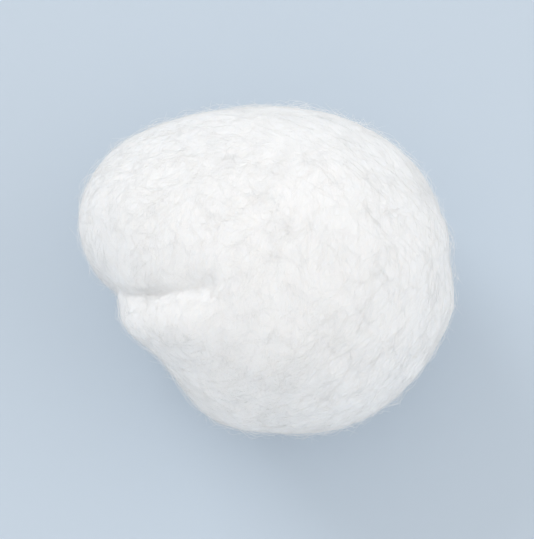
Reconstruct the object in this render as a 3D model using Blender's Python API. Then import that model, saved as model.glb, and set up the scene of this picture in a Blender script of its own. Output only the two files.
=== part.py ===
"""A cotton ball, rolled up as one soft wad from a short length of cotton sliver.

The roll axis lies along X, and the fibres go round it. Both ends of the roll are
drawn in as tucks. The sliver's last corner laps over the ball from the left tuck,
which leaves a crease under a full upper lobe, a raised lip below the crease, and a
drawn-in side below the lip. The ball is soft, so it rests on a small flat spot.
Units are metres, and +Z is up.
"""

import math

import bmesh
import bpy
from mathutils import Matrix, Vector, noise

OBJECT_NAME = "cotton_ball"

# The ball's three diameters before it rests, and the flat spot that it rests on
LENGTH = 0.0271
DEPTH = 0.0246
HEIGHT = 0.0252
REST_SPOT = 0.0078

# The lap's crease: it runs along the surface from the left tuck, and climbs towards the top
CREASE_LENGTH = 0.0164
CREASE_DEPTH = 0.0020
CREASE_SLOPE = 0.0012
CREASE_START = 0.0022
CREASE_TIP_SHARE = 0.45
CREASE_START_TURN = math.radians(32.0)
CREASE_TIP_TURN = math.radians(16.5)

# The upper lobe that hangs over the crease, and the lip below it
LOBE_RISE = 0.0006
LOBE_WIDTH = 0.0050
LOBE_LENGTH = 0.0253
LOBE_SLOPE = 0.0019
LOBE_OVERHANG = 0.0008
OVERHANG_WIDTH = 0.0009
LIP_RISE = 0.0010
LIP_WIDTH = 0.0027

# The lobe's full shoulder, at the back left
SHOULDER_RISE = 0.0016
SHOULDER_WIDTH = 0.0070
SHOULDER_TOWARDS = Vector((-0.82, 0.54, 0.20)).normalized()

# The side below the lip, where the sliver is drawn in under the lap
DRAWN_IN_DEPTH = 0.0027
DRAWN_IN_WIDTH = 0.0080
DRAWN_IN_EDGE = 0.0016
DRAWN_IN_TOWARDS = Vector((-0.86, -0.50, -0.16)).normalized()

# The tucks at the two ends of the roll, with the small folds that run into them
LEFT_TUCK_DEPTH = 0.0012
LEFT_TUCK_TOWARDS = Vector((-0.970, -0.235, -0.060)).normalized()
RIGHT_TUCK_DEPTH = 0.0006
RIGHT_TUCK_TOWARDS = Vector((1.0, 0.06, 0.04)).normalized()
TUCK_WIDTH = 0.0032
FOLD_DEPTH = 0.00026
FOLD_START = 0.0046
FOLD_REACH = 0.0062
FOLD_COUNT = 5
BROAD_FOLD_COUNT = 2
BROAD_FOLD_SHARE = 0.6
FOLD_UNEVENNESS = 1.4

# The unevenness of the wad: broad lumps, and smaller ones on them
LUMP_RISE = 0.00045
LUMP_WIDTH = 0.0080
SMALL_LUMP_RISE = 0.00016
SMALL_LUMP_WIDTH = 0.0030
LUMP_PLACE = Vector((3.1, 7.4, 1.8))

# The mesh: segments round the roll axis, drawn together at the crease, rings along it, and
# the places round the flat spot's rim where its height is read
SEGMENTS = 80
RINGS = 54
CREASE_CROWDING = 0.42
RIM_STEPS = 48
CUT_PRECISION = 1e-6

COTTON_COLOUR = (0.90, 0.90, 0.89, 1.0)
COTTON_ROUGHNESS = 0.95

MEAN_RADIUS = (LENGTH + DEPTH + HEIGHT) / 6.0


def bell(distance, width):
    """A smooth bump: 1 at no distance, and near 0 past about twice the width."""
    return math.exp(-((distance / width) ** 2))


def valley(distance, width):
    """A sharp fold: 1 at its bottom, and near 0 past about three times the width."""
    return math.exp(-abs(distance) / width)


def ease(value):
    """A smooth step from 0 to 1 as the value goes from 0 to 1."""
    value = min(max(value, 0.0), 1.0)
    return value * value * (3.0 - 2.0 * value)


def mix(first, second, share):
    """A value between two others: the first at share 0, and the second at share 1."""
    return first + (second - first) * share


def roll_angles(direction):
    """Angle from the left end of the roll axis, and turn round it from the top to the front."""
    polar = math.acos(min(max(-direction.x, -1.0), 1.0))
    turn = math.atan2(-direction.y, direction.z)
    return polar, turn


def crease_turn(polar):
    """The crease's turn round the roll axis, which falls from the tuck to the tip as it climbs."""
    return mix(CREASE_START_TURN, CREASE_TIP_TURN, ease(polar * MEAN_RADIUS / CREASE_LENGTH))


def place_at_crease(direction):
    """Distances along and above the crease, and the side: 1 at the crease to -1 opposite."""
    polar, turn = roll_angles(direction)
    off_crease = crease_turn(polar) - turn
    above = MEAN_RADIUS * math.sin(polar) * math.sin(off_crease)
    return polar * MEAN_RADIUS, above, math.cos(off_crease)


def crease_strength(along, side):
    """How much of the crease there is: it starts in the tuck and ends in a rounded tip."""
    share = min(along / CREASE_LENGTH, 1.0)
    return ease(along / CREASE_START) * math.sqrt(1.0 - share**4) * ease(side)


def lap_rise(direction):
    """Rise of the surface over the lap: lobe, crease and lip, in that order downwards."""
    along, above, side = place_at_crease(direction)
    strength = crease_strength(along, side)
    fading = ease((LOBE_LENGTH - along) / CREASE_LENGTH)
    lobe = LOBE_RISE * bell(above - LOBE_WIDTH, LOBE_WIDTH) * fading
    lip = LIP_RISE * bell(above + LIP_WIDTH, LIP_WIDTH) * strength
    slope = LOBE_SLOPE if above > 0.0 else CREASE_SLOPE
    slope *= mix(CREASE_TIP_SHARE, 1.0, strength)
    return lobe + lip - CREASE_DEPTH * valley(above, slope) * strength


def shoulder_rise(direction):
    """Rise of the surface at the lobe's shoulder."""
    distance = direction.angle(SHOULDER_TOWARDS) * MEAN_RADIUS
    return SHOULDER_RISE * bell(distance, SHOULDER_WIDTH)


def overhang(direction):
    """How far the lobe's edge leans over the crease, towards the front."""
    along, above, side = place_at_crease(direction)
    leaning = bell(above - OVERHANG_WIDTH, OVERHANG_WIDTH)
    return LOBE_OVERHANG * leaning * crease_strength(along, side)


def place_at_tuck(direction, towards):
    """Distance from a tuck's middle along the surface, and the turn round it."""
    sideways = towards.cross(Vector((0.0, 0.0, 1.0))).normalized()
    upwards = sideways.cross(towards)
    turn = math.atan2(direction.dot(upwards), direction.dot(sideways))
    return direction.angle(towards) * MEAN_RADIUS, turn


def tuck_rise(direction, towards, depth, phase):
    """Rise of the surface at a tuck, which is a fall, with folds that run into it."""
    distance, turn = place_at_tuck(direction, towards)
    swirl = phase + FOLD_UNEVENNESS * math.sin(turn + phase) + distance / TUCK_WIDTH
    fold = math.cos(FOLD_COUNT * turn + swirl)
    fold += BROAD_FOLD_SHARE * math.cos(BROAD_FOLD_COUNT * turn - swirl)
    near = bell(distance, FOLD_REACH) * ease(distance / FOLD_START)
    return FOLD_DEPTH * fold * near - depth * bell(distance, TUCK_WIDTH)


def drawn_in_rise(direction):
    """Fall of the surface on the side below the lip; the lobe above the crease keeps its form."""
    distance = direction.angle(DRAWN_IN_TOWARDS) * MEAN_RADIUS
    _, above, side = place_at_crease(direction)
    edge = mix(DRAWN_IN_WIDTH, DRAWN_IN_EDGE, (1.0 + side) / 2.0)
    return -DRAWN_IN_DEPTH * bell(distance, DRAWN_IN_WIDTH) * ease(-above / edge)


def lump_rise(direction):
    """Unevenness of the wad."""
    point = direction * MEAN_RADIUS
    broad = LUMP_RISE * noise.noise(point / LUMP_WIDTH + LUMP_PLACE)
    small = SMALL_LUMP_RISE * noise.noise(point / SMALL_LUMP_WIDTH - LUMP_PLACE)
    return broad + small


def surface_point(direction):
    """The surface of the wad in a direction from its centre, before it rests."""
    rise = lap_rise(direction) + shoulder_rise(direction)
    rise += drawn_in_rise(direction) + lump_rise(direction)
    rise += tuck_rise(direction, LEFT_TUCK_TOWARDS, LEFT_TUCK_DEPTH, 0.0)
    rise += tuck_rise(direction, RIGHT_TUCK_TOWARDS, RIGHT_TUCK_DEPTH, 1.0)
    point = Vector((direction.x * LENGTH, direction.y * DEPTH, direction.z * HEIGHT)) / 2.0
    forwards = Vector((0.0, -direction.z, direction.y))
    return point + direction * rise + forwards * overhang(direction)


def crowd_turn(direction):
    """The direction turned so that one line of the mesh is the crease, with more lines near it."""
    polar, turn = roll_angles(direction)
    turn += crease_turn(polar) - CREASE_CROWDING * math.sin(turn)
    across = math.sin(polar)
    return Vector((-math.cos(polar), -across * math.sin(turn), across * math.cos(turn)))


def wad_mesh():
    """A sphere with its poles on the roll axis, brought to the wad's form."""
    mesh = bmesh.new()
    turned = Matrix.Rotation(math.pi / 2.0, 4, "Y")
    bmesh.ops.create_uvsphere(
        mesh, u_segments=SEGMENTS, v_segments=RINGS, radius=1.0, matrix=turned
    )
    for vertex in mesh.verts:
        vertex.co = surface_point(crowd_turn(vertex.co.normalized()))
    return mesh


def rest_level():
    """Height of the flat spot: the mean height of the surface round the spot's rim."""
    tilt = math.asin(REST_SPOT / 2.0 / MEAN_RADIUS)
    heights = []
    for step in range(RIM_STEPS):
        turn = 2.0 * math.pi * step / RIM_STEPS
        outwards = Vector((math.cos(turn), math.sin(turn), 0.0)) * math.sin(tilt)
        heights.append(surface_point(outwards - Vector((0.0, 0.0, math.cos(tilt)))).z)
    return sum(heights) / RIM_STEPS


def flatten_rest_spot(mesh):
    """Cut the flat spot, at the height where the ball is as wide as the spot, and close it."""
    level = rest_level()
    everything = mesh.verts[:] + mesh.edges[:] + mesh.faces[:]
    bmesh.ops.bisect_plane(
        mesh,
        geom=everything,
        dist=MEAN_RADIUS * CUT_PRECISION,
        plane_co=(0.0, 0.0, level),
        plane_no=(0.0, 0.0, -1.0),
        clear_outer=True,
    )
    rim = [edge for edge in mesh.edges if edge.is_boundary]
    for edge in rim:
        for vertex in edge.verts:
            vertex.co.z = level
    bmesh.ops.holes_fill(mesh, edges=rim)


def stand_on_origin(mesh):
    """Move the ball so that the middle of its footprint is the origin and it rests at zero."""
    corners = [vertex.co for vertex in mesh.verts]
    lowest = Vector([min(corner[axis] for corner in corners) for axis in range(3)])
    highest = Vector([max(corner[axis] for corner in corners) for axis in range(3)])
    middle = (lowest + highest) / 2.0
    bmesh.ops.translate(mesh, verts=mesh.verts, vec=(-middle.x, -middle.y, -lowest.z))


def cotton_material():
    """White bleached cotton, without shine."""
    material = bpy.data.materials.new("cotton")
    material.use_nodes = True
    shader = material.node_tree.nodes["Principled BSDF"]
    shader.inputs["Base Color"].default_value = COTTON_COLOUR
    shader.inputs["Roughness"].default_value = COTTON_ROUGHNESS
    shader.inputs["Metallic"].default_value = 0.0
    return material


def make_cotton_ball():
    """The ball as one object in a collection of its own."""
    form = wad_mesh()
    flatten_rest_spot(form)
    bmesh.ops.recalc_face_normals(form, faces=form.faces)
    stand_on_origin(form)
    mesh = bpy.data.meshes.new(OBJECT_NAME)
    form.to_mesh(mesh)
    form.free()
    mesh.shade_smooth()
    mesh.materials.append(cotton_material())
    ball = bpy.data.objects.new(OBJECT_NAME, mesh)
    collection = bpy.data.collections.new("cotton_ball_model")
    bpy.context.scene.collection.children.link(collection)
    collection.objects.link(ball)
    return ball


def clear_scene():
    """Remove what the scene holds at the start."""
    for thing in list(bpy.data.objects):
        bpy.data.objects.remove(thing, do_unlink=True)


clear_scene()
make_cotton_ball()
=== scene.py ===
"""The looks of a cotton ball: one soft wad of bleached cotton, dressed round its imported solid.

The wad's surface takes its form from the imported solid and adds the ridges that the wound
sliver leaves. Fibres are laid on it: most follow the winding round the roll axis, X, some
arch off it as loops, and a few short ends stand out as fuzz. Metres, +Z up.
"""

import logging
import math
from dataclasses import dataclass
from enum import Enum
from typing import Any, Union

import bmesh
import bpy
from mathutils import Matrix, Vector


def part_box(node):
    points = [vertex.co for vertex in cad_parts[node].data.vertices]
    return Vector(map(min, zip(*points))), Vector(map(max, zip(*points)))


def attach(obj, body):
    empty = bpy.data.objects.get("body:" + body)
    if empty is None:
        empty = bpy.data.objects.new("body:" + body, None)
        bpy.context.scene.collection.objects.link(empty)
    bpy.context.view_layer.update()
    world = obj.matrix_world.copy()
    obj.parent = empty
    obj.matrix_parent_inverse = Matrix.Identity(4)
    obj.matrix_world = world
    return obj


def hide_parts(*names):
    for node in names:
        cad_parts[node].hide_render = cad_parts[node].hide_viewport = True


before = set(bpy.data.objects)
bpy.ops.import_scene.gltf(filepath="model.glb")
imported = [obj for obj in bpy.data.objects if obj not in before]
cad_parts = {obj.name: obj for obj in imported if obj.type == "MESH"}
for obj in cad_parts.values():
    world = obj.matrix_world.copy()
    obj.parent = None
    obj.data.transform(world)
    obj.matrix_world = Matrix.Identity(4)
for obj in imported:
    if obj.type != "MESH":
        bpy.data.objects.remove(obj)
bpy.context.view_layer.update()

NODE_NAME = "cotton_ball"
BODY_NAME = "root"
MILLIMETRE = 0.001
ROLL_AXIS = (1.0, 0.0, 0.0)
NOISE_MIDDLE = (0.5, 0.5, 0.5)

LOG = logging.getLogger("cotton_ball")

Value = Union[float, int, tuple, bpy.types.NodeSocket]


def shown(sockets: Any) -> list[bpy.types.NodeSocket]:
    """The inputs or outputs that a node shows with its present settings.

    Args:
        sockets: all its inputs, or all its outputs.

    Returns:
        Those that are in use.
    """
    return [socket for socket in sockets if socket.enabled]


class NodeWriter:
    """Adds nodes to one node tree and joins them, so that a tree reads as a formula."""

    def __init__(self, tree: bpy.types.NodeTree) -> None:
        """Start writing.

        Args:
            tree: the node tree that the nodes go into.
        """
        self.tree = tree

    def add(self, kind: str, **settings: Any) -> bpy.types.Node:
        """Add a node.

        Args:
            kind: the node's type name in Blender.
            settings: the node's own properties, by name.

        Returns:
            The new node.
        """
        node = self.tree.nodes.new(kind)
        for name, value in settings.items():
            setattr(node, name, value)
        return node

    def feed(self, socket: bpy.types.NodeSocket, value: Value) -> None:
        """Give an input its value.

        Args:
            socket: the input.
            value: a plain value, or the output that the input is joined to.
        """
        if isinstance(value, bpy.types.NodeSocket):
            self.tree.links.new(value, socket)
        else:
            socket.default_value = value

    def maths(self, operation: str, *values: Value) -> bpy.types.NodeSocket:
        """Work out a number.

        Args:
            operation: the Math node's operation.
            values: its operands.

        Returns:
            The output that holds the result.
        """
        node = self.add("ShaderNodeMath", operation=operation)
        for socket, value in zip(node.inputs, values):
            self.feed(socket, value)
        return node.outputs[0]

    def vector(self, operation: str, *values: Value) -> bpy.types.NodeSocket:
        """Work out a vector, or the number that a vector operation gives.

        Args:
            operation: the Vector Math node's operation.
            values: its operands; for SCALE, the vector and the factor.

        Returns:
            The output that holds the result.
        """
        node = self.add("ShaderNodeVectorMath", operation=operation)
        sockets = [node.inputs[0], node.inputs["Scale"]] if operation == "SCALE" else node.inputs
        for socket, value in zip(sockets, values):
            self.feed(socket, value)
        gives_number = operation in ("DOT_PRODUCT", "LENGTH", "DISTANCE")
        return node.outputs["Value" if gives_number else "Vector"]

    def combine(self, x: Value, y: Value, z: Value) -> bpy.types.NodeSocket:
        """Make a vector of three numbers.

        Args:
            x: the first number.
            y: the second number.
            z: the third number.

        Returns:
            The output that holds the vector.
        """
        node = self.add("ShaderNodeCombineXYZ")
        for socket, value in zip(node.inputs, (x, y, z)):
            self.feed(socket, value)
        return node.outputs[0]

    def mix(self, kind: str, factor: Value, first: Value, second: Value) -> bpy.types.NodeSocket:
        """Blend two values.

        Args:
            kind: FLOAT, or RGBA for colours.
            factor: 0 for the first value, 1 for the second.
            first: the first value.
            second: the second value.

        Returns:
            The output that holds the blend.
        """
        node = self.add("ShaderNodeMix", data_type=kind)
        for socket, value in zip(shown(node.inputs), (factor, first, second)):
            self.feed(socket, value)
        return shown(node.outputs)[0]

    def turned(self, way: Value, axis: Value, angle: Value) -> bpy.types.NodeSocket:
        """A vector turned about an axis.

        Args:
            way: the vector.
            axis: the axis.
            angle: the angle.

        Returns:
            The output that holds the turned vector.
        """
        node = self.add("ShaderNodeVectorRotate", rotation_type="AXIS_ANGLE")
        for name, value in (("Vector", way), ("Axis", axis), ("Angle", angle)):
            self.feed(node.inputs[name], value)
        return node.outputs[0]

    def placed(self, geometry: Value, position: Value, level: Value) -> bpy.types.NodeSocket:
        """Move points to new places, none of them below a level.

        Args:
            geometry: the points.
            position: their new places.
            level: the least height.

        Returns:
            The moved points.
        """
        apart = self.add("ShaderNodeSeparateXYZ")
        self.feed(apart.inputs[0], position)
        height = self.maths("MAXIMUM", apart.outputs["Z"], level)
        node = self.add("GeometryNodeSetPosition")
        self.feed(node.inputs["Geometry"], geometry)
        self.feed(node.inputs["Position"], self.combine(apart.outputs["X"], apart.outputs["Y"], height))
        return node.outputs[0]

    def dressed(self, geometry: Value, material: Value) -> None:
        """Shade geometry smooth, give it its material and send it out of the tree.

        Args:
            geometry: the finished geometry.
            material: its material.
        """
        smooth = self.add("GeometryNodeSetShadeSmooth")
        self.feed(smooth.inputs["Geometry"], geometry)
        node = self.add("GeometryNodeSetMaterial")
        self.feed(node.inputs["Geometry"], smooth.outputs[0])
        self.feed(node.inputs["Material"], material)
        self.feed(self.add("NodeGroupOutput").inputs["Geometry"], node.outputs[0])

    def noise(self, place: Value, detail: float = 1.0) -> bpy.types.Node:
        """Add a noise pattern whose lumps are one unit wide.

        Args:
            place: where the pattern is read.
            detail: how many finer layers it has.

        Returns:
            The Noise Texture node.
        """
        node = self.add("ShaderNodeTexNoise")
        self.feed(node.inputs["Vector"], place)
        node.inputs["Scale"].default_value = 1.0
        node.inputs["Detail"].default_value = detail
        return node

    def signed_noise(self, place: Value, detail: float = 1.0) -> bpy.types.NodeSocket:
        """A noise value that runs from about -1 to 1.

        Args:
            place: where the pattern is read.
            detail: how many finer layers it has.

        Returns:
            The output that holds the value.
        """
        return self.maths("MULTIPLY_ADD", self.noise(place, detail).outputs["Fac"], 2.0, -1.0)


def new_socket(tree: bpy.types.NodeTree, name: str, kind: str, is_input: bool = True) -> None:
    """Give a node group an input or output.

    Args:
        tree: the node group.
        name: the socket's name.
        kind: its type, such as Float.
        is_input: False for an output.
    """
    side = "INPUT" if is_input else "OUTPUT"
    tree.interface.new_socket(name=name, in_out=side, socket_type="NodeSocket" + kind)


def geometry_tree(
    name: str, numbers: tuple[str, ...], counts: tuple[str, ...] = ()
) -> bpy.types.NodeTree:
    """Start a Geometry Nodes tree that also takes the ball's centre and a material.

    Args:
        name: the tree's name.
        numbers: the names of its inputs that are numbers.
        counts: the names of its inputs that are whole numbers.

    Returns:
        The tree, with no nodes in it yet.
    """
    tree = bpy.data.node_groups.new(name, "GeometryNodeTree")
    new_socket(tree, "Geometry", "Geometry", is_input=False)
    new_socket(tree, "Geometry", "Geometry")
    for number in numbers:
        new_socket(tree, number, "Float")
    for count in counts:
        new_socket(tree, count, "Int")
    new_socket(tree, "Centre", "Vector")
    new_socket(tree, "Material", "Material")
    return tree


def ball_centre() -> Vector:
    """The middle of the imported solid's box.

    Returns:
        The point.
    """
    lowest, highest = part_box(NODE_NAME)
    return (Vector(lowest) + Vector(highest)) / 2.0


def identifier(tree: bpy.types.NodeTree, name: str) -> str:
    """The identifier of a node group's input, which a modifier's value is set by.

    Args:
        tree: the node group.
        name: the input's name.

    Returns:
        The identifier.
    """
    sockets = [item for item in tree.interface.items_tree if item.item_type == "SOCKET"]
    return next(item.identifier for item in sockets if item.name == name and item.in_out == "INPUT")


def made_with(tree: bpy.types.NodeTree, name: str, mesh: bpy.types.Mesh, inputs: dict) -> bpy.types.Object:
    """Run a Geometry Nodes tree on a mesh and keep the result as a plain mesh.

    Args:
        tree: the Geometry Nodes tree.
        name: the new object's name.
        mesh: the mesh that the tree starts from.
        inputs: the tree's input values, by name.

    Returns:
        The new object, at the origin, with no modifier left on it.
    """
    piece = bpy.data.objects.new(name, mesh.copy())
    bpy.context.scene.collection.objects.link(piece)
    modifier = piece.modifiers.new(name, "NODES")
    modifier.node_group = tree
    for key, value in inputs.items():
        modifier[identifier(tree, key)] = value
    evaluated = piece.evaluated_get(bpy.context.evaluated_depsgraph_get())
    result = bpy.data.meshes.new_from_object(evaluated)
    result.name = name
    piece.modifiers.clear()
    piece.data = result
    return piece


def streaks(
    nodes: NodeWriter, place: Value, width: Value, length: Value, detail: float = 1.0
) -> bpy.types.NodeSocket:
    """A pattern that is drawn out round the roll axis, as wound fibre is.

    Args:
        nodes: the tree that the pattern goes into.
        place: where it is read, from the ball's centre.
        width: how wide a streak is along the roll axis.
        length: how long a streak is round the axis.
        detail: how many finer layers it has.

    Returns:
        The output that holds the pattern's value, from about -1 to 1.
    """
    across = nodes.maths("DIVIDE", 1.0, width)
    along = nodes.maths("DIVIDE", 1.0, length)
    stretched = nodes.vector("MULTIPLY", place, nodes.combine(across, along, along))
    return nodes.signed_noise(stretched, detail)


def swirled(nodes: NodeWriter, place: Value, width: Value, amount: Value) -> bpy.types.NodeSocket:
    """The same place, carried sideways by broad swirls, so that streaks there wander.

    Args:
        nodes: the tree that the nodes go into.
        place: the place, from the ball's centre.
        width: how wide a swirl is.
        amount: how far it carries.

    Returns:
        The output that holds the new place.
    """
    read_at = nodes.vector("DIVIDE", place, nodes.combine(width, width, width))
    drift = nodes.vector("SUBTRACT", nodes.noise(read_at).outputs["Color"], NOISE_MIDDLE)
    carried = nodes.vector("SCALE", drift, nodes.maths("MULTIPLY", amount, 2.0))
    return nodes.vector("ADD", place, carried)


@dataclass(frozen=True)
class CottonFinish:
    """Bleached cotton: white, matt, and lit from within where it is thick.

    The streaks are the grain of the fibre that is too fine to model. Where the grain lies low the
    colour is darker: partly the cotton's own uneven tone, partly painted shade in the grain's valleys.

    Attributes:
        name: the material's name.
        colour: the colour where the grain stands high.
        shade: the darker colour where the grain lies low: the cotton's own tone, and painted shade in the
            grain's valleys.
        roughness: the roughness where the grain lies low.
        roughness_spread: how much less it is where the grain stands high.
        sheen: how strongly the fibres glow at a grazing angle.
        subsurface: the share of the light that goes into the cotton.
        depth_of_light: how deep that light goes.
        grain_width: how wide a streak is.
        grain_length: how long a streak is.
        grain_depth: how high a streak stands.
        sheen_roughness: how widely the sheen spreads.
        specular: how strongly the surface reflects.
        light_reach: how deep red, green and blue go, as shares of depth_of_light.
    """

    name: str
    colour: tuple[float, float, float]
    shade: tuple[float, float, float]
    roughness: float
    roughness_spread: float
    sheen: float
    subsurface: float
    depth_of_light: float
    grain_width: float
    grain_length: float
    grain_depth: float
    sheen_roughness: float = 0.6
    specular: float = 0.2
    light_reach: tuple[float, float, float] = (1.0, 0.95, 0.9)

    def material(self, grain: bpy.types.NodeTree) -> bpy.types.Material:
        """Make the material.

        Args:
            grain: the shader group that draws the fibre's grain.

        Returns:
            The material, with its nodes.
        """
        material = bpy.data.materials.new(self.name)
        material.use_nodes = True
        nodes = NodeWriter(material.node_tree)
        shader = material.node_tree.nodes["Principled BSDF"]
        streak = nodes.add("ShaderNodeGroup", node_tree=grain)
        place = nodes.add("ShaderNodeTexCoord").outputs["Object"]
        nodes.feed(streak.inputs["Place"], place)
        streak.inputs["Width"].default_value = self.grain_width
        streak.inputs["Length"].default_value = self.grain_length
        mask = streak.outputs["Mask"]
        bump = nodes.add("ShaderNodeBump")
        bump.inputs["Distance"].default_value = self.grain_depth
        nodes.feed(bump.inputs["Height"], streak.outputs["Height"])
        values = {
            # Base Color is darker where the grain lies low: painted shade in its valleys, over the
            # cotton's own tone.
            "Base Color": nodes.mix("RGBA", mask, (*self.shade, 1.0), (*self.colour, 1.0)),
            "Normal": bump.outputs["Normal"],
            "Roughness": nodes.maths("MULTIPLY_ADD", mask, -self.roughness_spread, self.roughness),
            "Sheen Weight": self.sheen,
            "Sheen Roughness": self.sheen_roughness,
            "Specular IOR Level": self.specular,
            "Subsurface Weight": self.subsurface,
            "Subsurface Radius": self.light_reach,
            "Subsurface Scale": self.depth_of_light,
        }
        for name, value in values.items():
            nodes.feed(shader.inputs[name], value)
        return material


@dataclass
class FibreGrain:
    """The shader group for the fibre's grain, in two layers that cross at a small angle.

    Attributes:
        swirl_width: how wide a swirl in the grain is.
        swirl_amount: how far it carries the grain sideways.
        crossing: how far the second layer is turned about Y, and about Z.
        detail: how many finer layers each pattern has.
        mask_gain: how strongly the mask follows the grain's height.
        mask_middle: the mask's value at the grain's mean height.
        centre: the ball's centre.
    """

    swirl_width: float = 4.0 * MILLIMETRE
    swirl_amount: float = 1.2 * MILLIMETRE
    crossing: float = math.radians(24.0)
    detail: float = 2.0
    mask_gain: float = 1.1
    mask_middle: float = 0.5
    centre: tuple[float, float, float] = (0.0, 0.0, 0.0)

    def group(self) -> bpy.types.NodeTree:
        """Build the group.

        Returns:
            The shader node group, with Place, Width and Length in, and Height and Mask out.
        """
        tree = bpy.data.node_groups.new("fibre_grain", "ShaderNodeTree")
        new_socket(tree, "Place", "Vector")
        new_socket(tree, "Width", "Float")
        new_socket(tree, "Length", "Float")
        new_socket(tree, "Height", "Float", is_input=False)
        new_socket(tree, "Mask", "Float", is_input=False)
        nodes = NodeWriter(tree)
        given = nodes.add("NodeGroupInput").outputs
        place = nodes.vector("SUBTRACT", given["Place"], self.centre)
        place = swirled(nodes, place, self.swirl_width, self.swirl_amount)
        first = streaks(nodes, place, given["Width"], given["Length"], self.detail)
        turned = nodes.add("ShaderNodeVectorRotate", rotation_type="EULER_XYZ")
        nodes.feed(turned.inputs["Vector"], place)
        turned.inputs["Rotation"].default_value = (0.0, self.crossing, self.crossing)
        second = streaks(nodes, turned.outputs[0], given["Width"], given["Length"], self.detail)
        height = nodes.maths("MULTIPLY", nodes.maths("ADD", first, second), 0.5)
        leaving = nodes.add("NodeGroupOutput")
        nodes.feed(leaving.inputs["Height"], height)
        mask = nodes.maths("MULTIPLY_ADD", height, self.mask_gain, self.mask_middle)
        mask.node.use_clamp = True
        nodes.feed(leaving.inputs["Mask"], mask)
        return tree


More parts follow.
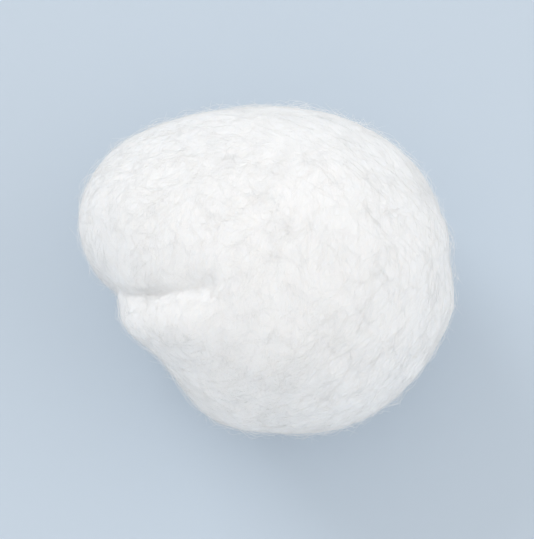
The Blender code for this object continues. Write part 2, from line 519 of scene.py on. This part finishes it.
@dataclass
class WadSurface:
    """The wad's own surface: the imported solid's form, with the winding's ridges in it.

    Lumps are broad, ridges are finer and strands are finest. Ridges and strands are drawn out
    round the roll axis, each in two patterns that cross.

    Attributes:
        merge_distance: how close two of the solid's corners are to be one.
        join_bend: the sharpest bend across which two of its triangles become one face.
        join_skew: how far from square such a face may be.
        rounding_levels: how often the form is subdivided.
        voxel: the size of a face on the even mesh.
        smoothing: how many smoothing passes the even mesh gets.
        smooth_factor: how far a pass moves each point.
        lump_detail: how many finer layers the lumps have.
        swirl_width: how wide a swirl in the winding is.
        swirl_amount: how far it carries the winding sideways.
        crossing: the angle between the two patterns.
        crossing_axis: the axis that the second pattern is turned about.
        layer_blend: how softly the higher of the two patterns is taken.
    """

    NUMBERS = (
        "Lump Height", "Lump Width", "Ridge Height", "Ridge Width", "Ridge Length", "Strand Height",
        "Strand Width", "Strand Length", "Swirl Width", "Swirl", "Crossing",
    )

    merge_distance: float = 0.001 * MILLIMETRE
    join_bend: float = math.radians(40.0)
    join_skew: float = math.radians(60.0)
    rounding_levels: int = 2
    voxel: float = 0.182 * MILLIMETRE
    smoothing: int = 2
    smooth_factor: float = 0.5
    lump_height: float = 0.12 * MILLIMETRE
    lump_width: float = 2.2 * MILLIMETRE
    lump_detail: float = 2.0
    ridge_height: float = 0.05 * MILLIMETRE
    ridge_width: float = 1.2 * MILLIMETRE
    ridge_length: float = 5.0 * MILLIMETRE
    strand_height: float = 0.03 * MILLIMETRE
    strand_width: float = 0.55 * MILLIMETRE
    strand_length: float = 3.0 * MILLIMETRE
    swirl_width: float = 6.0 * MILLIMETRE
    swirl_amount: float = 2.2 * MILLIMETRE
    crossing: float = math.radians(32.0)
    crossing_axis: tuple[float, float, float] = (0.0, 0.7, 0.7)
    layer_blend: float = 0.25

    def form(self) -> bpy.types.Mesh:
        """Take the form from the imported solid, as one smooth even mesh.

        Returns:
            The mesh, resting at the same height as the solid.
        """
        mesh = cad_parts[NODE_NAME].data.copy()
        mesh.materials.clear()
        form = bmesh.new()
        form.from_mesh(mesh)
        bmesh.ops.remove_doubles(form, verts=form.verts, dist=self.merge_distance)
        bmesh.ops.join_triangles(
            form,
            faces=form.faces,
            angle_face_threshold=self.join_bend,
            angle_shape_threshold=self.join_skew,
        )
        form.to_mesh(mesh)
        form.free()
        rough = bpy.data.objects.new("wad_form", mesh)
        bpy.context.scene.collection.objects.link(rough)
        rounding = rough.modifiers.new("rounding", "SUBSURF")
        rounding.levels = self.rounding_levels
        rounding.render_levels = self.rounding_levels
        even = rough.modifiers.new("even", "REMESH")
        even.mode = "VOXEL"
        even.voxel_size = self.voxel
        smooth = rough.modifiers.new("smooth", "SMOOTH")
        smooth.factor = self.smooth_factor
        smooth.iterations = self.smoothing
        evaluated = rough.evaluated_get(bpy.context.evaluated_depsgraph_get())
        result = bpy.data.meshes.new_from_object(evaluated)
        bpy.data.objects.remove(rough, do_unlink=True)
        return result

    def relief(self) -> bpy.types.NodeTree:
        """Build the tree that raises lumps, ridges and strands on the form.

        Returns:
            The Geometry Nodes tree.
        """
        tree = geometry_tree("wound_relief", self.NUMBERS)
        nodes = NodeWriter(tree)
        given = nodes.add("NodeGroupInput").outputs
        position = nodes.add("GeometryNodeInputPosition").outputs[0]
        place = nodes.vector("SUBTRACT", position, given["Centre"])
        lump_at = nodes.vector("SCALE", place, nodes.maths("DIVIDE", 1.0, given["Lump Width"]))
        lumps = nodes.signed_noise(lump_at, self.lump_detail)
        rise = nodes.maths("MULTIPLY", lumps, given["Lump Height"])
        place = swirled(nodes, place, given["Swirl Width"], given["Swirl"])
        crossed = nodes.turned(place, self.crossing_axis, given["Crossing"])
        for kind in ("Ridge", "Strand"):
            sizes = (given[kind + " Width"], given[kind + " Length"])
            layers = [streaks(nodes, at, *sizes) for at in (place, crossed)]
            upper = nodes.maths("SMOOTH_MAX", *layers, self.layer_blend)
            rise = nodes.maths("MULTIPLY_ADD", upper, given[kind + " Height"], rise)
        outwards = nodes.add("GeometryNodeInputNormal").outputs[0]
        moved = nodes.vector("ADD", position, nodes.vector("SCALE", outwards, rise))
        nodes.dressed(nodes.placed(given["Geometry"], moved, 0.0), given["Material"])
        return tree

    def build(self, centre: Vector, material: bpy.types.Material) -> bpy.types.Object:
        """Make the surface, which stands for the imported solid.

        Args:
            centre: the ball's centre.
            material: the wad's material.

        Returns:
            The finished piece.
        """
        inputs = {
            "Lump Height": self.lump_height,
            "Lump Width": self.lump_width,
            "Ridge Height": self.ridge_height,
            "Ridge Width": self.ridge_width,
            "Ridge Length": self.ridge_length,
            "Strand Height": self.strand_height,
            "Strand Width": self.strand_width,
            "Strand Length": self.strand_length,
            "Swirl Width": self.swirl_width,
            "Swirl": self.swirl_amount,
            "Crossing": self.crossing,
            "Centre": tuple(centre),
            "Material": material,
        }
        wad = made_with(self.relief(), "wad_surface", self.form(), inputs)
        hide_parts(NODE_NAME)
        return wad


class FibreLie(Enum):
    """How a fibre lies on the wad. The value is how far its far end stands free."""

    WOUND = 0.0
    FREE_END = 1.0


class Draw(Enum):
    """What is drawn at random for each fibre. The value is what its seed adds to the layer's."""

    SPREAD = 1
    REACH = 2
    HEIGHT = 3
    GIRTH = 4
    OWN_PLACE = 5


@dataclass
class FibreLayer:
    """One layer of fibres that grow along the winding from points on the wad.

    Attributes:
        name: the piece's name.
        lie: how its fibres lie.
        count: about how many there are.
        length: a fibre's length.
        thickness: a fibre's thickness.
        steps: how many straight steps a fibre has.
        lift: how far the highest fibres stand off the wad.
        spread: how far a fibre may set out to either side of the winding.
        curl: how far a fibre turns to either side on its way.
        seed: the layer's seed.
        clearance: how far off the wad even its lowest fibres lie.
        curl_width: how wide a curl is.
        wander: how far neighbouring fibres turn together.
        wander_width: how wide an area turns together.
    """

    name: str
    lie: FibreLie
    count: int
    length: float
    thickness: float
    steps: int
    lift: float
    spread: float
    curl: float
    seed: int
    clearance: float = 0.02 * MILLIMETRE
    curl_width: float = 1.4 * MILLIMETRE
    wander: float = math.radians(25.0)
    wander_width: float = 6.0 * MILLIMETRE

    def inputs(self, wad: bpy.types.Object, centre: Vector, material: bpy.types.Material) -> dict:
        """The values that the fibre tree takes for this layer.

        Args:
            wad: the surface that the fibres lie on.
            centre: the ball's centre.
            material: the fibres' material.

        Returns:
            The tree's input values, by name.
        """
        area = sum(face.area for face in wad.data.polygons)
        return {
            "Density": self.count / area,
            "Seed": self.seed,
            "Steps": self.steps,
            "Length": self.length,
            "Thickness": self.thickness,
            "Spread": self.spread,
            "Curl": self.curl,
            "Curl Width": self.curl_width,
            "Wander": self.wander,
            "Wander Width": self.wander_width,
            "Lift": self.lift,
            "Free End": self.lie.value,
            "Clearance": self.clearance,
            "Centre": tuple(centre),
            "Material": material,
        }


class FibreCoat:
    """The Geometry Nodes tree that grows fibres, and the layers that are made with it.

    Attributes:
        NUMBERS: the tree's inputs that are numbers.
        COUNTS: its inputs that are whole numbers.
        REACH_RANGE: a fibre's least and greatest length, as shares of the layer's.
        GIRTH_RANGE: a fibre's least and greatest thickness, as shares of the layer's.
        OWN_PLACE_RANGE: how far apart fibres read the pattern that curls them.
        FREE_END_POWER: how late a free end leaves the wad.
        HEIGHT_POWER: how few of the fibres stand high.
        SIDES: how many sides a fibre has.
        TAPER_POWER: how long the tapers at its ends are.
        LEAST_TAPER: its thickness at the very ends, as a share.
    """

    NUMBERS = (
        "Density", "Length", "Thickness", "Spread", "Curl", "Curl Width", "Wander",
        "Wander Width", "Lift", "Free End", "Clearance",
    )
    COUNTS = ("Seed", "Steps")
    REACH_RANGE = (0.55, 1.25)
    GIRTH_RANGE = (0.65, 1.25)
    OWN_PLACE_RANGE = (-40.0, 40.0)
    FREE_END_POWER = 1.3
    HEIGHT_POWER = 2.5
    SIDES = 3
    TAPER_POWER = 0.4
    LEAST_TAPER = 0.25

    def __init__(self) -> None:
        """Build the tree."""
        self.tree = geometry_tree("fibre_coat", self.NUMBERS, self.COUNTS)
        self.nodes = NodeWriter(self.tree)
        self.given = self.nodes.add("NodeGroupInput").outputs
        fibres = self.walked(self.rooted())
        self.finish(self.lifted(fibres))

    def random(self, draw: Draw, low: float, high: float, kind: str = "FLOAT") -> bpy.types.NodeSocket:
        """A random value for each fibre.

        Args:
            draw: what the value is for.
            low: the least value.
            high: the greatest value.
            kind: FLOAT, or FLOAT_VECTOR for three values.

        Returns:
            The output that holds the value.
        """
        node = self.nodes.add("FunctionNodeRandomValue", data_type=kind)
        pair = [(low,) * 3, (high,) * 3] if kind == "FLOAT_VECTOR" else [low, high]
        for socket, value in zip(shown(node.inputs), pair):
            socket.default_value = value
        seed = self.nodes.maths("ADD", self.given["Seed"], float(draw.value))
        self.nodes.feed(node.inputs["Seed"], seed)
        return shown(node.outputs)[0]

    def stored(self, geometry: Value, name: str, kind: str, value: Value) -> bpy.types.NodeSocket:
        """Keep a value on each point under a name.

        Args:
            geometry: the points.
            name: the name.
            kind: FLOAT or FLOAT_VECTOR.
            value: the value.

        Returns:
            The points with the value on them.
        """
        node = self.nodes.add("GeometryNodeStoreNamedAttribute", data_type=kind, domain="POINT")
        self.nodes.feed(node.inputs["Geometry"], geometry)
        node.inputs["Name"].default_value = name
        self.nodes.feed(node.inputs["Value"], value)
        return node.outputs[0]

    def kept(self, name: str, kind: str = "FLOAT") -> bpy.types.NodeSocket:
        """Read back a value that was kept under a name.

        Args:
            name: the name.
            kind: FLOAT or FLOAT_VECTOR.

        Returns:
            The output that holds the value.
        """
        node = self.nodes.add("GeometryNodeInputNamedAttribute", data_type=kind)
        node.inputs["Name"].default_value = name
        return node.outputs["Attribute"]

    def rooted(self) -> bpy.types.NodeSocket:
        """Scatter the fibres' roots on the wad and stand an undrawn fibre on each.

        Returns:
            The fibres, as curves whose points all lie at their roots.
        """
        nodes = self.nodes
        scatter = nodes.add("GeometryNodeDistributePointsOnFaces", distribute_method="RANDOM")
        nodes.feed(scatter.inputs["Mesh"], self.given["Geometry"])
        nodes.feed(scatter.inputs["Density"], self.given["Density"])
        nodes.feed(scatter.inputs["Seed"], self.given["Seed"])
        points = scatter.outputs["Points"]
        position = nodes.add("GeometryNodeInputPosition").outputs[0]
        points = self.stored(points, "root", "FLOAT_VECTOR", position)
        points = self.stored(points, "way", "FLOAT_VECTOR", self.first_way(position))
        points = self.stored(points, "reach", "FLOAT", self.random(Draw.REACH, *self.REACH_RANGE))
        points = self.stored(points, "height", "FLOAT", self.random(Draw.HEIGHT, 0.0, 1.0))
        points = self.stored(points, "girth", "FLOAT", self.random(Draw.GIRTH, *self.GIRTH_RANGE))
        own_place = self.random(Draw.OWN_PLACE, *self.OWN_PLACE_RANGE, "FLOAT_VECTOR")
        points = self.stored(points, "own", "FLOAT_VECTOR", own_place)
        line = nodes.add("GeometryNodeCurvePrimitiveLine")
        parted = nodes.add("GeometryNodeResampleCurve")
        nodes.feed(parted.inputs["Curve"], line.outputs[0])
        nodes.feed(parted.inputs["Count"], nodes.maths("ADD", self.given["Steps"], 1.0))
        placed = nodes.add("GeometryNodeInstanceOnPoints")
        nodes.feed(placed.inputs["Points"], points)
        nodes.feed(placed.inputs["Instance"], parted.outputs[0])
        real = nodes.add("GeometryNodeRealizeInstances")
        nodes.feed(real.inputs[0], placed.outputs[0])
        gathered = nodes.add("GeometryNodeSetPosition")
        nodes.feed(gathered.inputs["Geometry"], real.outputs[0])
        nodes.feed(gathered.inputs["Position"], self.kept("root", "FLOAT_VECTOR"))
        return gathered.outputs[0]

    def outwards(self, position: Value) -> bpy.types.NodeSocket:
        """The way out of the ball at a place.

        Args:
            position: the place.

        Returns:
            The output that holds the unit vector.
        """
        from_centre = self.nodes.vector("SUBTRACT", position, self.given["Centre"])
        return self.nodes.vector("NORMALIZE", from_centre)

    def pattern_at(self, position: Value, width: Value) -> bpy.types.NodeSocket:
        """Where a noise pattern with lumps of a given width is read for a place.

        Args:
            position: the place.
            width: the lumps' width.

        Returns:
            The output that holds the pattern's place.
        """
        from_centre = self.nodes.vector("SUBTRACT", position, self.given["Centre"])
        return self.nodes.vector("SCALE", from_centre, self.nodes.maths("DIVIDE", 1.0, width))

    def first_way(self, position: Value) -> bpy.types.NodeSocket:
        """The way a fibre sets out from its root: round the roll axis, turned by its spread.

        Args:
            position: the root.

        Returns:
            The output that holds the unit vector.
        """
        nodes = self.nodes
        outwards = self.outwards(position)
        round_axis = nodes.vector("NORMALIZE", nodes.vector("CROSS_PRODUCT", ROLL_AXIS, outwards))
        broad = nodes.signed_noise(self.pattern_at(position, self.given["Wander Width"]))
        angle = nodes.maths("MULTIPLY", broad, self.given["Wander"])
        spread = nodes.maths("MULTIPLY", self.random(Draw.SPREAD, -1.0, 1.0), self.given["Spread"])
        return nodes.turned(round_axis, outwards, nodes.maths("ADD", angle, spread))

    def heading(self, position: Value) -> bpy.types.NodeSocket:
        """The way a fibre runs on at a place: as it set out, along the wad, turned by its curl.

        Args:
            position: the place.

        Returns:
            The output that holds the unit vector.
        """
        nodes = self.nodes
        outwards = self.outwards(position)
        own = self.kept("own", "FLOAT_VECTOR")
        curl_at = nodes.vector("ADD", self.pattern_at(position, self.given["Curl Width"]), own)
        angle = nodes.maths("MULTIPLY", nodes.signed_noise(curl_at), self.given["Curl"])
        way = nodes.turned(self.kept("way", "FLOAT_VECTOR"), outwards, angle)
        steepness = nodes.vector("DOT_PRODUCT", way, outwards)
        level = nodes.vector("SUBTRACT", way, nodes.vector("SCALE", outwards, steepness))
        return nodes.vector("NORMALIZE", level)

    def walked(self, fibres: bpy.types.NodeSocket) -> bpy.types.NodeSocket:
        """Draw each fibre out over the wad, one step of all its later points at a time.

        Args:
            fibres: the fibres, gathered at their roots.

        Returns:
            The fibres, lying on the wad.
        """
        nodes = self.nodes
        start = nodes.add("GeometryNodeRepeatInput")
        end = nodes.add("GeometryNodeRepeatOutput")
        start.pair_with_output(end)
        nodes.feed(start.inputs["Iterations"], self.given["Steps"])
        nodes.feed(start.inputs["Geometry"], fibres)
        position = nodes.add("GeometryNodeInputPosition").outputs[0]
        stride = nodes.maths("DIVIDE", self.given["Length"], self.given["Steps"])
        stride = nodes.maths("MULTIPLY", stride, self.kept("reach"))
        step = nodes.vector("SCALE", self.heading(position), stride)
        nearest = nodes.add("GeometryNodeProximity", target_element="FACES")
        nodes.feed(nearest.inputs["Geometry"], self.given["Geometry"])
        nodes.feed(nearest.inputs["Sample Position"], nodes.vector("ADD", position, step))
        later = nodes.add("FunctionNodeCompare", data_type="INT", operation="GREATER_THAN")
        index = nodes.add("GeometryNodeSplineParameter").outputs["Index"]
        for socket, value in zip(shown(later.inputs), (index, start.outputs["Iteration"])):
            nodes.feed(socket, value)
        moved = nodes.add("GeometryNodeSetPosition")
        nodes.feed(moved.inputs["Geometry"], start.outputs["Geometry"])
        nodes.feed(moved.inputs["Selection"], later.outputs[0])
        nodes.feed(moved.inputs["Position"], nearest.outputs["Position"])
        nodes.feed(end.inputs["Geometry"], moved.outputs[0])
        return end.outputs["Geometry"]

    def arch(self, share: Value) -> bpy.types.NodeSocket:
        """A number that rises from 0 at a fibre's root to 1 at its middle, and falls back to 0.

        Args:
            share: how far along the fibre a point is, from 0 to 1.

        Returns:
            The output that holds the number.
        """
        return self.nodes.maths("SINE", self.nodes.maths("MULTIPLY", share, math.pi))

    def lifted(self, fibres: bpy.types.NodeSocket) -> bpy.types.NodeSocket:
        """Raise each fibre off the wad: as an arch, or with its far end free.

        Args:
            fibres: the fibres, lying on the wad.

        Returns:
            The fibres at their final places, none below the floor.
        """
        nodes = self.nodes
        share = nodes.add("GeometryNodeSplineParameter").outputs["Factor"]
        free = nodes.maths("POWER", share, self.FREE_END_POWER)
        shape = nodes.mix("FLOAT", self.given["Free End"], self.arch(share), free)
        height = nodes.maths("POWER", self.kept("height"), self.HEIGHT_POWER)
        height = nodes.maths("MULTIPLY", height, self.given["Lift"])
        rise = nodes.maths("MULTIPLY_ADD", shape, height, self.given["Clearance"])
        position = nodes.add("GeometryNodeInputPosition").outputs[0]
        outwards = nodes.vector("SCALE", self.outwards(position), rise)
        raised = nodes.vector("ADD", position, outwards)
        return nodes.placed(fibres, raised, self.given["Thickness"])

    def finish(self, fibres: bpy.types.NodeSocket) -> None:
        """Give the fibres their thickness, tapered at both ends, and their material.

        Args:
            fibres: the fibres at their final places.
        """
        nodes = self.nodes
        ring = nodes.add("GeometryNodeCurvePrimitiveCircle", mode="RADIUS")
        ring.inputs["Resolution"].default_value = self.SIDES
        nodes.feed(ring.inputs["Radius"], nodes.maths("DIVIDE", self.given["Thickness"], 2.0))
        share = nodes.add("GeometryNodeSplineParameter").outputs["Factor"]
        taper = nodes.maths("POWER", self.arch(share), self.TAPER_POWER)
        taper = nodes.maths("MAXIMUM", taper, self.LEAST_TAPER)
        tube = nodes.add("GeometryNodeCurveToMesh")
        nodes.feed(tube.inputs["Curve"], fibres)
        nodes.feed(tube.inputs["Profile Curve"], ring.outputs["Curve"])
        nodes.feed(tube.inputs["Scale"], nodes.maths("MULTIPLY", taper, self.kept("girth")))
        tube.inputs["Fill Caps"].default_value = True
        real = nodes.add("GeometryNodeRealizeInstances")
        nodes.feed(real.inputs[0], tube.outputs[0])
        nodes.dressed(real.outputs[0], self.given["Material"])

    def build(
        self, layer: FibreLayer, wad: bpy.types.Object, centre: Vector, material: bpy.types.Material
    ) -> bpy.types.Object:
        """Make one layer of fibres.

        Args:
            layer: the layer's sizes.
            wad: the surface that the fibres lie on.
            centre: the ball's centre.
            material: the fibres' material.

        Returns:
            The finished piece.
        """
        return made_with(self.tree, layer.name, wad.data, layer.inputs(wad, centre, material))


@dataclass
class CottonBall:
    """The whole ball: the wad's surface and the fibres on it."""

    surface: WadSurface
    layers: list[FibreLayer]
    wad_finish: CottonFinish
    fibre_finish: CottonFinish

    def build(self) -> list[bpy.types.Object]:
        """Make every piece and put it on the part's body.

        Returns:
            The finished pieces.
        """
        centre = ball_centre()
        grain = FibreGrain(centre=tuple(centre)).group()
        wad = self.surface.build(centre, self.wad_finish.material(grain))
        pieces = [wad]
        coat = FibreCoat()
        fibre_material = self.fibre_finish.material(grain)
        for layer in self.layers:
            pieces.append(coat.build(layer, wad, centre, fibre_material))
        for piece in pieces:
            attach(piece, BODY_NAME)
            triangles = sum(len(face.vertices) - 2 for face in piece.data.polygons)
            LOG.info("%s: %d triangles", piece.name, triangles)
        return pieces


@dataclass
class Stage:
    """The plain pale floor, the soft light and the camera."""

    floor_size: float = 3.0
    floor_colour: tuple[float, float, float] = (0.555, 0.635, 0.72)
    floor_roughness: float = 0.9
    floor_specular: float = 0.1
    world_colour: tuple[float, float, float] = (0.614, 0.699, 0.787)
    ambient: float = 0.86
    key_strength: float = 0.68
    key_from: tuple[float, float, float] = (-0.55, 0.62, 0.70)
    key_softness: float = math.radians(28.0)
    fill_strength: float = 0.42
    fill_from: tuple[float, float, float] = (0.80, -0.05, 0.50)
    fill_softness: float = math.radians(60.0)
    camera_elevation: float = math.radians(78.0)
    camera_distance: float = 0.225
    camera_lens: float = 200.0
    camera_clip: float = 0.01

    def floor(self) -> None:
        """Lay the floor."""
        bpy.ops.mesh.primitive_plane_add(size=self.floor_size)
        floor = bpy.context.object
        floor.name = "floor"
        material = bpy.data.materials.new("floor_paint")
        material.use_nodes = True
        shader = material.node_tree.nodes["Principled BSDF"]
        shader.inputs["Base Color"].default_value = (*self.floor_colour, 1.0)
        shader.inputs["Roughness"].default_value = self.floor_roughness
        shader.inputs["Specular IOR Level"].default_value = self.floor_specular
        floor.data.materials.append(material)

    def sun(self, name: str, strength: float, way: tuple, softness: float) -> None:
        """Hang one soft light.

        Args:
            name: the light's name.
            strength: how much light it gives.
            way: the direction that it shines from.
            softness: the angle that it fills in the sky.
        """
        light = bpy.data.lights.new(name, "SUN")
        light.energy = strength
        light.angle = softness
        lamp = bpy.data.objects.new(name, light)
        lamp.rotation_euler = Vector(way).to_track_quat("Z", "Y").to_euler()
        bpy.context.scene.collection.objects.link(lamp)

    def world(self) -> None:
        """Light the scene evenly from all round, and show the camera a plain pale backdrop."""
        world = bpy.data.worlds.new("studio")
        world.use_nodes = True
        nodes = NodeWriter(world.node_tree)
        backdrop = world.node_tree.nodes["Background"]
        backdrop.inputs["Color"].default_value = (*self.world_colour, 1.0)
        glow = nodes.add("ShaderNodeBackground")
        glow.inputs["Color"].default_value = (1.0, 1.0, 1.0, 1.0)
        glow.inputs["Strength"].default_value = self.ambient
        seen = nodes.add("ShaderNodeLightPath").outputs["Is Camera Ray"]
        blend = nodes.add("ShaderNodeMixShader")
        nodes.feed(blend.inputs[0], seen)
        nodes.feed(blend.inputs[1], glow.outputs[0])
        nodes.feed(blend.inputs[2], backdrop.outputs[0])
        nodes.feed(world.node_tree.nodes["World Output"].inputs["Surface"], blend.outputs[0])
        bpy.context.scene.world = world

    def camera(self, target: Vector) -> None:
        """Set the camera at the viewing angle, looking down on the ball.

        Args:
            target: the point that it looks at.
        """
        data = bpy.data.cameras.new("camera")
        data.lens = self.camera_lens
        data.clip_start = self.camera_clip
        camera = bpy.data.objects.new("camera", data)
        level = math.cos(self.camera_elevation)
        way = Vector((0.0, -level, math.sin(self.camera_elevation)))
        camera.location = target + way * self.camera_distance
        camera.rotation_euler = way.to_track_quat("Z", "Y").to_euler()
        bpy.context.scene.collection.objects.link(camera)
        bpy.context.scene.camera = camera

    def build(self, target: Vector) -> None:
        """Make the whole stage.

        Args:
            target: the point that the camera looks at.
        """
        self.floor()
        self.sun("key", self.key_strength, self.key_from, self.key_softness)
        self.sun("fill", self.fill_strength, self.fill_from, self.fill_softness)
        self.world()
        self.camera(target)
        bpy.context.scene.view_settings.view_transform = "Standard"


WAD_FINISH = CottonFinish(
    name="cotton_wad",
    colour=(0.955, 0.955, 0.95),
    # shade: painted shade in the grain's valleys, over the cotton's own slightly uneven tone.
    shade=(0.925, 0.927, 0.93),
    roughness=0.98,
    roughness_spread=0.08,
    sheen=0.2,
    subsurface=0.75,
    depth_of_light=0.5 * MILLIMETRE,
    grain_width=0.13 * MILLIMETRE,
    grain_length=1.6 * MILLIMETRE,
    grain_depth=0.03 * MILLIMETRE,
)

FIBRE_FINISH = CottonFinish(
    name="cotton_fibre",
    colour=(0.975, 0.975, 0.97),
    # shade: painted shade in the grain's valleys, over the fibre's own slightly uneven tone.
    shade=(0.955, 0.957, 0.955),
    roughness=0.90,
    roughness_spread=0.10,
    sheen=0.1,
    subsurface=0.0,
    depth_of_light=0.3 * MILLIMETRE,
    grain_width=0.5 * MILLIMETRE,
    grain_length=3.0 * MILLIMETRE,
    grain_depth=0.01 * MILLIMETRE,
)

FIBRE_LAYERS = [
    FibreLayer(
        name="wound_fibres_lower",
        lie=FibreLie.WOUND,
        count=4700,
        length=3.6 * MILLIMETRE,
        thickness=0.017 * MILLIMETRE,
        steps=6,
        lift=0.08 * MILLIMETRE,
        spread=math.radians(80.0),
        curl=math.radians(50.0),
        seed=11,
    ),
    FibreLayer(
        name="wound_fibres_upper",
        lie=FibreLie.WOUND,
        count=4700,
        length=3.2 * MILLIMETRE,
        thickness=0.015 * MILLIMETRE,
        steps=6,
        lift=0.24 * MILLIMETRE,
        spread=math.radians(90.0),
        curl=math.radians(70.0),
        seed=23,
    ),
    FibreLayer(
        name="loose_loops",
        lie=FibreLie.WOUND,
        count=3200,
        length=3.6 * MILLIMETRE,
        thickness=0.015 * MILLIMETRE,
        steps=9,
        lift=0.60 * MILLIMETRE,
        spread=math.radians(110.0),
        curl=math.radians(130.0),
        seed=37,
        curl_width=0.9 * MILLIMETRE,
    ),
    FibreLayer(
        name="fuzz",
        lie=FibreLie.FREE_END,
        count=3400,
        length=1.7 * MILLIMETRE,
        thickness=0.014 * MILLIMETRE,
        steps=8,
        lift=0.95 * MILLIMETRE,
        spread=math.radians(180.0),
        curl=math.radians(130.0),
        seed=53,
        curl_width=0.8 * MILLIMETRE,
    ),
]


def main() -> None:
    """Build the ball and its stage."""
    logging.basicConfig(level=logging.INFO, format="%(name)s %(message)s")
    ball = CottonBall(WadSurface(), FIBRE_LAYERS, WAD_FINISH, FIBRE_FINISH)
    pieces = ball.build()
    LOG.info("%d pieces made", len(pieces))
    Stage().build(ball_centre())


if __name__ == "__main__":
    main()
